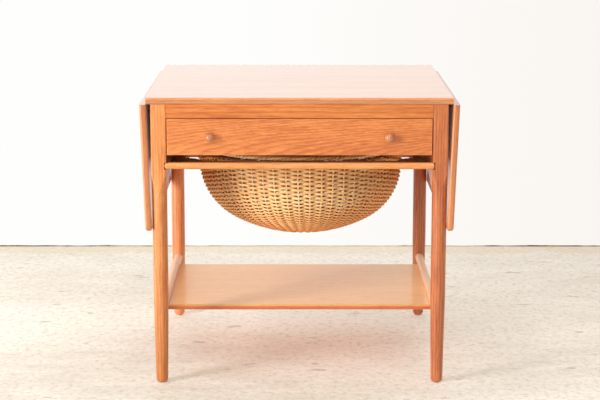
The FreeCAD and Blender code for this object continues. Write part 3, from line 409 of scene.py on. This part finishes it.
top_colours = (linear(244, 162, 98), linear(214, 126, 66))
polished = {"ring_width": 0.004, "sway": 0.03, "shine": 1.0, "bloom": 0.48}
dress("top_panel", oak("top_oak", "X", (0.1, 0.31, -0.5), top_colours, turn=(0, 0.02, 0.01),
                       edges=(0.79, 0.79, 0.78), **polished))
dress("leaf_left", oak("left_leaf_oak", "Z", (0.3, 0.2, 0.55), top_colours,
                       edges=(0.70, 0.57, 0.54), hangs=True, **polished))
dress("leaf_right", oak("right_leaf_oak", "Z", (0.3, 0.1, -0.6), top_colours,
                        edges=(0.78, 0.66, 0.56), hangs=True, **polished))


# Legs
# Each is turned from a square blank, with a lamb's tongue below the joints. The two right legs were cut
# from redder wood, and the left front leg is browner near the floor.

for leg, number, pith, colours, foot in (
    ("front_left", "one", (0, 0.20, 0.17), (linear(248, 166, 98), linear(200, 112, 54)), (0.73, 0.64, 0.40)),
    ("front_right", "two", (0, 0.17, -0.42), (linear(220, 130, 76), linear(166, 82, 42)), None),
    ("back_left", "three", (0, -0.36, 0.2), (linear(250, 168, 108), linear(216, 122, 70)), None),
    ("back_right", "four", (0, -0.2, -0.38), (linear(210, 124, 72), linear(168, 88, 46)), None),
):
    dress(f"leg_{leg}", oak(f"leg_oak_{number}", "Z", pith, colours, ring_width=0.006, foot=foot))


# Front rail, aprons, stretchers and shelf
# Straight oak boards, tenoned into the legs. The shelf is doweled between two round stretchers, and
# these and the shelf show a pale bloom at a low angle.

dress("front_rail", oak("rail_oak", "X", (0.2, 0.42, -0.5), (linear(234, 145, 72), linear(190, 96, 38)),
                        ring_width=0.006))
apron_colours = (linear(236, 152, 94), linear(194, 110, 60))
dress("back_apron", oak("back_oak", "X", (0.4, -0.1, -0.58), apron_colours))
dress("side_apron_left", oak("side_oak_left", "Y", (0.1, 0.6, -0.4), apron_colours))
dress("side_apron_right", oak("side_oak_right", "Y", (0.3, -0.6, -0.4), apron_colours))
# The shelf's edges and underside carry painted shade.
dress("shelf", oak("shelf_oak", "X", (0.1, 0.1, -0.02), (linear(255, 194, 112), linear(255, 168, 88)),
                   ring_width=0.004, sway=0.03, turn=(0, 0.02, 0.01), shine=0.5, bloom=1.0,
                   bloom_tint=(1.0, 0.82, 0.54), edges=(0.66, 0.35, 0.29)))
for side in ("left", "right"):
    dress(f"stretcher_{side}", oak(f"stretcher_oak_{side}", "Y", (0.2, 0.3, -0.2),
                                   (linear(255, 196, 130), linear(255, 172, 106)), ring_width=0.002,
                                   bloom=1.0, bloom_tint=(1.0, 0.9, 0.8)))


# Drawer front, knobs and pull rod
# The drawer front is a plain-sawn board whose flame lies low at its right. The knobs are turned and a
# little worn; the rod under the drawer is the basket's handle.

dress("drawer_front", oak("drawer_oak", "X", (0.05, 0.234, -0.495),
                          (linear(238, 148, 80), linear(200, 108, 52)), ring_width=0.0045, sway=0.020,
                          turn=(0, 0.02, 0.10), figure=0.38))
for side in ("left", "right"):
    dress(f"knob_{side}", oak(f"knob_oak_{side}", "Y", (0.0, 0.1, -0.5),
                              (linear(212, 144, 100), linear(180, 108, 68)), ring_width=0.002, shine=0.7))
dress("pull_rod", oak("rod_oak", "X", (0.3, 0.25, -0.45), (linear(252, 180, 108), linear(228, 142, 74))))


# Work inside
# The drawer's box, the battens and the lopers are the same oak, planed and hardly oiled. The basket's
# frame and the channels that it runs in are darker and browner, a painted shade for the dark gap they lie in.

inner_colours = (linear(232, 176, 126), linear(200, 138, 90))
inner_across = oak("inner_oak_across", "X", (0.2, 0.2, -0.4), inner_colours, shine=0.1)
inner_along = oak("inner_oak_along", "Y", (0.1, 0.3, -0.4), inner_colours, shine=0.1)
for node in ("drawer_back", "drawer_bottom", "drawer_divider_long", "spool_rack", "shelf_dowels",
             "loper_guides_front", "loper_guides_back", "loper_front_left", "loper_front_right",
             "loper_back_left", "loper_back_right"):
    dress(node, inner_across)
for node in ("drawer_side_left", "drawer_side_right", "drawer_divider_left", "drawer_divider_right",
             "drawer_runner_left", "drawer_runner_right"):
    dress(node, inner_along)
dress("spool_pegs", oak("peg_oak", "Z", (0.1, 0.1, 0.1), inner_colours, ring_width=0.002, shine=0.1))

# A darker brown that paints in the shade of the gap the basket's frame lies in.
frame_shade_colours = (linear(166, 114, 76), linear(128, 84, 52))
frame_shaded_oak = oak("frame_oak_painted_shade", "Y", (0.2, 0.3, -0.4), frame_shade_colours, shine=0.2)
for node in ("basket_runner_left", "basket_runner_right", "basket_slide_left", "basket_slide_right"):
    dress(node, frame_shaded_oak)
for end, pith in (("front", (0.2, 0.2, -0.44)), ("back", (0.4, -0.3, -0.44))):
    dress(f"basket_{end}_member", oak(f"{end}_member_oak", "X", pith, frame_shade_colours, shine=0.2))


# Hinges and their screws
# Small brass butt hinges, let in flush, with a dull film. Three screws with domed, slotted heads hold
# each plate: twelve go up into the top and six into each leaf.

def old_brass():
    """Brass with a dull, cloudy film."""
    material, tree, output = new_material("old_brass")
    place = object_place(tree)
    film = stretched_noise(tree, place, (90.0, 90.0, 90.0), 5.0, 0.65)
    scratches = stretched_noise(tree, place, (160.0, 2600.0, 700.0), 2.0, 0.5)
    colour = blended(tree, film, linear(220, 178, 100), linear(150, 112, 58))
    bump = add_node(tree, "ShaderNodeBump", {"Height": scratches, "Strength": 0.10, "Distance": 0.0002})
    shader = add_node(tree, "ShaderNodeBsdfPrincipled",
                      {"Base Color": colour, "Roughness": between(tree, film, 0.2, 0.8, 0.25, 0.55),
                       "Normal": bump.outputs["Normal"], "Metallic": 1.0})
    tree.links.new(shader.outputs["BSDF"], output.inputs["Surface"])
    return material


brass = old_brass()
for node in pieces:
    if node.startswith("hinge_"):
        dress(node, brass)

head_radius = 0.0031
head_rise = 0.0008
head_sides = 20
dome_share = 0.7
slot_width = 0.0008
slot_depth = 0.0005
blade_length = head_radius * 3


def slotted_head():
    """One screw's head at the origin, its dome upwards."""
    bpy.ops.mesh.primitive_cylinder_add(vertices=head_sides, radius=head_radius, depth=head_rise,
                                        location=(0, 0, head_rise / 2))
    head = bpy.context.object
    bpy.ops.object.mode_set(mode="EDIT")
    bpy.ops.mesh.select_all(action="DESELECT")
    bpy.ops.object.mode_set(mode="OBJECT")
    for edge in head.data.edges:
        edge.select = all(head.data.vertices[corner].co.z > 0 for corner in edge.vertices)
    bpy.ops.object.mode_set(mode="EDIT")
    bpy.ops.mesh.bevel(offset=head_rise * dome_share, segments=3)
    bpy.ops.object.mode_set(mode="OBJECT")
    bpy.ops.mesh.primitive_cube_add(size=1, location=(0, 0, head_rise))
    blade = bpy.context.object
    blade.scale = (blade_length, slot_width, slot_depth * 2)
    bpy.ops.object.select_all(action="DESELECT")
    bpy.context.view_layer.objects.active = head
    slot = head.modifiers.new("slot", "BOOLEAN")
    slot.operation = "DIFFERENCE"
    slot.object = blade
    bpy.ops.object.modifier_apply(modifier="slot")
    bpy.data.objects.remove(blade)
    return head


pin_low, pin_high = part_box("hinge_right_pins")
hinge_across = (pin_low.x + pin_high.x) / 2
hinge_height = (pin_low.z + pin_high.z) / 2
table_middle = (pin_low.y + pin_high.y) / 2
hinge_reach = 0.200
screw_step = 0.0173
screw_inset = 0.0105
# A hanging leaf leans out a little, and so do its screws. Each slot stands at an angle of its own.
leaf_lean = math.radians(2.0036)
slot_turn = 3
slot_change = 40


def screws_in(body, side, in_leaf):
    """The six screws on one side of the table that go into a body, as one piece."""
    if in_leaf:
        down = math.pi / 2 - leaf_lean
        reach = Vector((-math.cos(down) * side, 0, -math.sin(down))) * screw_inset
        facing = Matrix.Rotation(-side * down, 4, "Y")
    else:
        reach = Vector((-side * screw_inset, 0, 0))
        facing = Matrix.Rotation(math.pi, 4, "X")
    pattern = slotted_head()
    heads = []
    for hinge in (-hinge_reach, hinge_reach):
        for step in (-screw_step, 0, screw_step):
            head = pattern.copy()
            head.data = pattern.data.copy()
            bpy.context.scene.collection.objects.link(head)
            along = table_middle + hinge + step
            turned = noise.noise(Vector((along * slot_change, side, screw_inset))) * slot_turn
            place = Vector((side * hinge_across, along, hinge_height)) + reach
            head.matrix_world = Matrix.Translation(place) @ facing @ Matrix.Rotation(turned, 4, "Z")
            heads.append(head)
    bpy.data.objects.remove(pattern)
    bpy.ops.object.select_all(action="DESELECT")
    for head in heads:
        head.select_set(True)
    bpy.context.view_layer.objects.active = heads[0]
    bpy.ops.object.join()
    bpy.ops.object.transform_apply(location=True, rotation=True, scale=True)
    row = bpy.context.object
    row.select_set(False)
    row.data.materials.append(brass)
    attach(row, body)
    return row


for side, word in ((-1, "left"), (1, "right")):
    screws_in("frame", side, in_leaf=False).name = f"screws_top_{word}"
    screws_in(f"leaf_{word}", side, in_leaf=True).name = f"screws_leaf_{word}"


# Wicker bowl
# Round cane rods stand like ribs, and two thin strands, side by side, are woven round them in one long
# spiral. With an odd number of rods, each row passes behind where the last one passed in front.

rod_count = 55
rod_thickness = 0.0038
rod_steps = 26
rod_overrun = 1.02
rod_stray = 0.10
strand_thickness = 0.0025
strand_count = 2
strand_stray = 0.0005
strays_per_row = 7
strays_between_strands = 3.7
slack = 1.02
row_height = 0.00475
steps_per_rod = 4
weave_half = (rod_thickness + strand_thickness) / 2 * slack
wall_half = weave_half + strand_thickness / 2

# Its outline is a short neck, a tight round side and a shallow round bottom, and lengths run down this
# curve from the mouth. The bowl hangs a little to the right of its mouth.
bowl_low, bowl_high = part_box("basket_bowl")
rim_low, rim_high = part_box("basket_rim")
bowl_middle = (bowl_low + bowl_high) / 2
bowl_lean = 0.033
neck_narrowing = 0.011
neck_height = 0.043
side_radius = 0.136
base_reach = 0.115
neck_reach = (bowl_high.x - bowl_low.x) / 2 - wall_half
shoulder_reach = neck_reach - neck_narrowing
shoulder_height = bowl_high.z - neck_height
depth = shoulder_height - bowl_low.z - wall_half
side_round = side_radius - wall_half
side_centre = shoulder_reach - side_round
bottom_round = (side_centre ** 2 + depth ** 2 - side_round ** 2) / (2 * (depth - side_round))
side_turn = math.atan2(bottom_round - depth, side_centre)
neck_length = math.hypot(neck_reach - shoulder_reach, bowl_high.z - shoulder_height)
side_length = side_round * side_turn
bottom_length = bottom_round * (math.pi / 2 - side_turn)
base_length = bottom_round * math.asin(base_reach / bottom_round)
base_middle = neck_length + side_length + bottom_length
weave_start = strand_thickness
weave_end = base_middle - base_length


def bowl_point(down, angle, outward):
    """A point of the weave: so far down from the mouth along its curve, round the bowl, and outward."""
    if down < neck_length:
        share = down / neck_length
        reach = neck_reach + (shoulder_reach - neck_reach) * share
        height = bowl_high.z + (shoulder_height - bowl_high.z) * share
        slope = 0.0
    elif down < neck_length + side_length:
        slope = (down - neck_length) / side_round
        reach = side_centre + side_round * math.cos(slope)
        height = shoulder_height - side_round * math.sin(slope)
    else:
        slope = side_turn + (down - neck_length - side_length) / bottom_round
        reach = bottom_round * math.cos(slope)
        height = shoulder_height - depth + bottom_round * (1 - math.sin(slope))
    reach += outward * math.cos(slope)
    height -= outward * math.sin(slope)
    lean = bowl_lean * max(shoulder_height - height, 0)
    return (bowl_middle.x + lean + reach * math.cos(angle), bowl_middle.y + reach * math.sin(angle), height)


# How sunk a point of cane is decides its tone: 0 where it stands out, 1 where it dips behind and dust and
# painted shade darken it, and more for the painted shadow under the border.
under_border = 0.018
border_shade = 1.8
rod_sunk = 0.35


def shade_of_border(down):
    """How deep the painted shadow under the border lies on the weave: most at the mouth, and none below."""
    return border_shade * (1 - down / under_border)


def unevenness(kind, along, size):
    """How far hand work strays at a place, the same each time."""
    return noise.noise(Vector((kind, along, size * 1000))) * size


def split_cane():
    """Peeled cane: straw to honey, each length its own tone, dusty brown with painted shade where it dips,
    and a painted shadow under the border.
    """
    material, tree, output = new_material("split_cane")
    place = object_place(tree)
    run = add_node(tree, "ShaderNodeAttribute", attribute_name="run").outputs["Fac"]
    sunk = add_node(tree, "ShaderNodeAttribute", attribute_name="sunk").outputs["Fac"]
    lengths = add_node(tree, "ShaderNodeTexNoise", {"W": run, "Scale": 9.0, "Detail": 3.0, "Roughness": 0.7},
                       noise_dimensions="1D").outputs["Fac"]
    areas = stretched_noise(tree, place, (11.0, 11.0, 11.0), 2.0, 0.5)
    lines = stretched_noise(tree, place, (300.0, 300.0, 900.0), 2.0)
    tones = maths(tree, "MULTIPLY_ADD", areas, 0.5, lengths)
    straw = blended(tree, between(tree, tones, 0.52, 0.98), linear(255, 192, 124), linear(255, 224, 164))
    honey = blended(tree, height_of(tree, place, 0.27, 0.38), linear(236, 160, 94), straw)
    # Dust and painted shade where the cane dips.
    dust_and_painted_shade = blended(tree, between(tree, sunk, 0.48, 1.0, 0.0, 0.84), honey, linear(150, 60, 18))
    # A painted shadow under the border.
    shaded = blended(tree, between(tree, sunk, 1.0, 1.5, 0.0, 0.8), dust_and_painted_shade, linear(48, 24, 10))
    bump = add_node(tree, "ShaderNodeBump", {"Height": lines, "Strength": 0.15, "Distance": 0.0002})
    shader = add_node(tree, "ShaderNodeBsdfPrincipled",
                      {"Base Color": shaded, "Roughness": between(tree, lines, 0.2, 0.8, 0.36, 0.58),
                       "Normal": bump.outputs["Normal"]})
    tree.links.new(shader.outputs["BSDF"], output.inputs["Surface"])
    return material


cane_finish = split_cane()
run_between_lengths = 0.731


def cane(name, lengths, thickness):
    """Lengths of round cane, each a path, how deep it sinks at each point, and whether it closes."""
    line = bpy.data.curves.new(name, "CURVE")
    line.dimensions = "3D"
    line.bevel_depth = thickness / 2
    line.bevel_resolution = 1
    depths = []
    places_along = []
    for number, (path, sunk, closed) in enumerate(lengths):
        spline = line.splines.new("POLY")
        spline.points.add(len(path) - 1)
        run = number * run_between_lengths
        last = path[0]
        for point, place, deep in zip(spline.points, path, sunk):
            point.co = (*place, 1.0)
            run += math.dist(place, last)
            last = place
            depths.append(deep)
            places_along.append(run)
        spline.use_cyclic_u = closed
    piece = bpy.data.objects.new(name, line)
    bpy.context.scene.collection.objects.link(piece)
    bpy.ops.object.select_all(action="DESELECT")
    piece.select_set(True)
    bpy.context.view_layer.objects.active = piece
    bpy.ops.object.convert(target="MESH")
    bpy.ops.object.shade_smooth()
    piece.select_set(False)
    round_sides = len(piece.data.vertices) // len(depths)
    for attribute, values in (("sunk", depths), ("run", places_along)):
        layer = piece.data.attributes.new(attribute, "FLOAT", "POINT")
        layer.data.foreach_set("value", [value for value in values for side in range(round_sides)])
    piece.data.materials.append(cane_finish)
    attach(piece, "basket")
    return piece


def rod_place(passed):
    """The angle after so many rods, which stand a little unevenly."""
    near, share = divmod(passed, 1)
    strays = [unevenness(near % rod_count + step, 0.5, rod_stray) if (near + step) % rod_count else 0.0
              for step in (0, 1)]
    return (passed + strays[0] * (1 - share) + strays[1] * share) * 2 * math.pi / rod_count


def strand_length(number):
    """One strand's spiral from the mouth to the base, now before a rod and now behind it."""
    path = []
    sunk = []
    turns = (weave_end - weave_start) / row_height
    for step in range(int(turns * rod_count * steps_per_rod)):
        passed = step / steps_per_rod
        row = passed / rod_count
        down = weave_start + (row + number / strand_count) * row_height
        down += unevenness(row * strays_per_row, number * strays_between_strands, strand_stray)
        wave = math.cos(math.pi * passed)
        path.append(bowl_point(down, rod_place(passed), weave_half * wave))
        # Where the strand dips behind a rod it gets dust and painted shade, and under the border a painted
        # shadow.
        sunk.append(max((1 - wave) / 2, shade_of_border(down - weave_start)))
    return path, sunk, False


for number in range(strand_count):
    weave = cane(f"basket_weave_{number + 1}", [strand_length(number)], strand_thickness)
    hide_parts("basket_bowl")

rods = []
rod_end = weave_end * rod_overrun
for number in range(rod_count):
    downs = [rod_end * step / rod_steps for step in range(rod_steps + 1)]
    path = [bowl_point(down, rod_place(number), 0) for down in downs]
    # The ribs get the painted shadow under the border too.
    rods.append((path, [max(rod_sunk, shade_of_border(down)) for down in downs], False))
cane("basket_ribs", rods, rod_thickness)


# Basket base
# Pairs of rods run out from the middle like spokes, close beside each other, and a single strand is
# woven round them from the middle outwards.

spoke_count = 27
spoke_split = 0.10
split_reach = 0.03
widest_split = 2
spoke_overrun = 1.04
spoke_sunk = 0.3
base_slack = 1.04
base_row = strand_thickness * base_slack
base_hub = 0.004
spokes = []
for number in range(spoke_count):
    for beside in (-1, 1):
        path = []
        for reach in (0.001, 0.012, 0.03, 0.05, 0.07, 0.09, base_length, base_length * spoke_overrun):
            split = beside * spoke_split * min(split_reach / reach, widest_split)
            path.append(bowl_point(base_middle - reach, (number + split) * 2 * math.pi / spoke_count, 0))
        spokes.append((path, [spoke_sunk] * len(path), False))
cane("basket_base_spokes", spokes, rod_thickness)

ring_path = []
ring_sunk = []
base_turns = (base_length - base_hub) / base_row
for step in range(int(base_turns * spoke_count * steps_per_rod)):
    passed = step / steps_per_rod
    wave = math.cos(math.pi * passed)
    reach = base_hub + passed / spoke_count * base_row
    ring_path.append(bowl_point(base_middle - reach, passed * 2 * math.pi / spoke_count, weave_half * wave))
    # Where the base strand dips it gets dust and painted shade.
    ring_sunk.append((1 - wave) / 2)
cane("basket_base_weave", [(ring_path, ring_sunk, False)], strand_thickness)


# Basket rim
# Nine strands are wound round two hoops into a flat plaited border, which lies on the basket's frame
# and holds the bowl.

plait_strands = 9
plait_thickness = 0.0044
plait_turns = 30
plait_sunk = 0.45
steps_per_turn = 10
border_overlap = 0.007
rim_middle = (rim_low + rim_high) / 2
rim_outer = (rim_high.x - rim_low.x) / 2
rim_inner = neck_reach + wall_half - border_overlap
rim_reach = (rim_outer + rim_inner) / 2
plait_out = (rim_outer - rim_inner) / 2 - plait_thickness / 2
plait_up = (rim_high.z - rim_low.z) / 2 - plait_thickness / 2


def rim_point(reach, share, up):
    """A point of the rim: so far out, a share of the way round, and up from its middle."""
    angle = 2 * math.pi * share
    return (rim_middle.x + reach * math.cos(angle), rim_middle.y + reach * math.sin(angle),
            rim_middle.z + up)


plaits = []
for strand in range(plait_strands):
    path = []
    sunk = []
    for step in range(plait_turns * steps_per_turn):
        share = step / (plait_turns * steps_per_turn)
        winding = 2 * math.pi * (plait_turns * share + strand / plait_strands)
        path.append(rim_point(rim_reach + plait_out * math.cos(winding), share, plait_up * math.sin(winding)))
        # The plait's strands get dust and painted shade where they turn under.
        sunk.append(plait_sunk + plait_sunk * math.sin(winding * 2 + strand))
    plaits.append((path, sunk, True))
border = cane("basket_border", plaits, plait_thickness)
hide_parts("basket_rim")

hoop_thickness = 0.0062
hoop_spread = plait_out * 0.4
# The hoops, hidden in the plait, are darkened with dust and painted shade.
hoop_sunk = 0.8
hoop_steps = 120
hoops = []
for beside in (-1, 1):
    path = [rim_point(rim_reach + beside * hoop_spread, step / hoop_steps, 0) for step in range(hoop_steps)]
    hoops.append((path, [hoop_sunk] * hoop_steps, True))
cane("basket_hoops", hoops, hoop_thickness)
